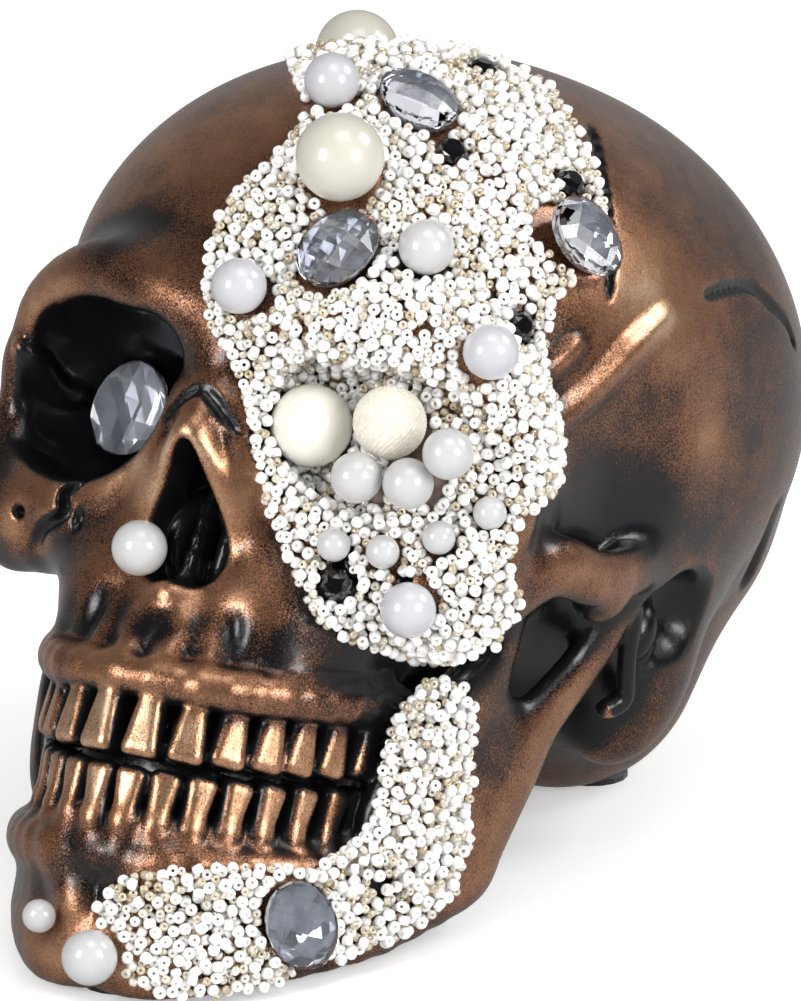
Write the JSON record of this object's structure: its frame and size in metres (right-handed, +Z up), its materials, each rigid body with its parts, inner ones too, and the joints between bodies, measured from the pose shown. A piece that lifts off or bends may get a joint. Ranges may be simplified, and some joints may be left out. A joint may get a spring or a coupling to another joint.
{
  "type": "decorative skull",
  "caption": "Cast skull ornament in dry-brushed copper, half its face set with pearls, cut stones and seed beads.",
  "frame": {"origin": "on the table under the middle of the whole decoration", "axes": "-Y the way the face looks, +X the skull's own left, +Z up"},
  "size_m": [0.117, 0.2052, 0.1482],
  "materials": {
    "casting": "gloss black with dry-brushed copper",
    "pearl_white": "pearl lustre",
    "pearl_cream": "pearl lustre, cream",
    "sugar": "grainy",
    "clear_stone": "clear, faceted, with a silvered back",
    "black_stone": "black, faceted",
    "beads": "opaque white and silver-lined champagne seed beads",
    "glue": "hidden glue",
    "felt": "felt"
  },
  "bodies": {
    "root": {"skull_casting": "casting", "socket_glue_bed": "glue", "bead_crust_face": "beads", "bead_crust_jaw": "beads", "pearl_forehead_large": "pearl_cream", "pearl_crown_large": "pearl_cream", "pearl_eye_large": "pearl_cream", "sugar_ball_eye": "sugar", "pearl_crown_small": "pearl_white", "pearl_brow_inner": "pearl_white", "pearl_forehead_small": "pearl_white", "pearl_temple": "pearl_white", "pearl_cheek_large": "pearl_white", "pearl_nose": "pearl_white", "pearl_chin_large": "pearl_white", "pearl_eye_lower_inner": "pearl_white", "pearl_eye_lower_outer": "pearl_white", "pearl_eye_outer": "pearl_white", "pearl_cheek_1": "pearl_white", "pearl_cheek_2": "pearl_white", "pearl_cheek_3": "pearl_white", "pearl_cheek_4": "pearl_white", "pearl_chin_small": "pearl_white", "rhinestone_socket": "clear_stone", "rhinestone_crown": "clear_stone", "rhinestone_forehead": "clear_stone", "rhinestone_temple": "clear_stone", "rhinestone_jaw": "clear_stone", "black_stone_crown": "black_stone", "black_stone_forehead": "black_stone", "black_stone_side": "black_stone", "black_stone_temple": "black_stone", "black_stone_cheek": "black_stone", "felt_pad_chin": "felt", "felt_pad_left": "felt", "felt_pad_right": "felt"}
  },
  "joints": []
}
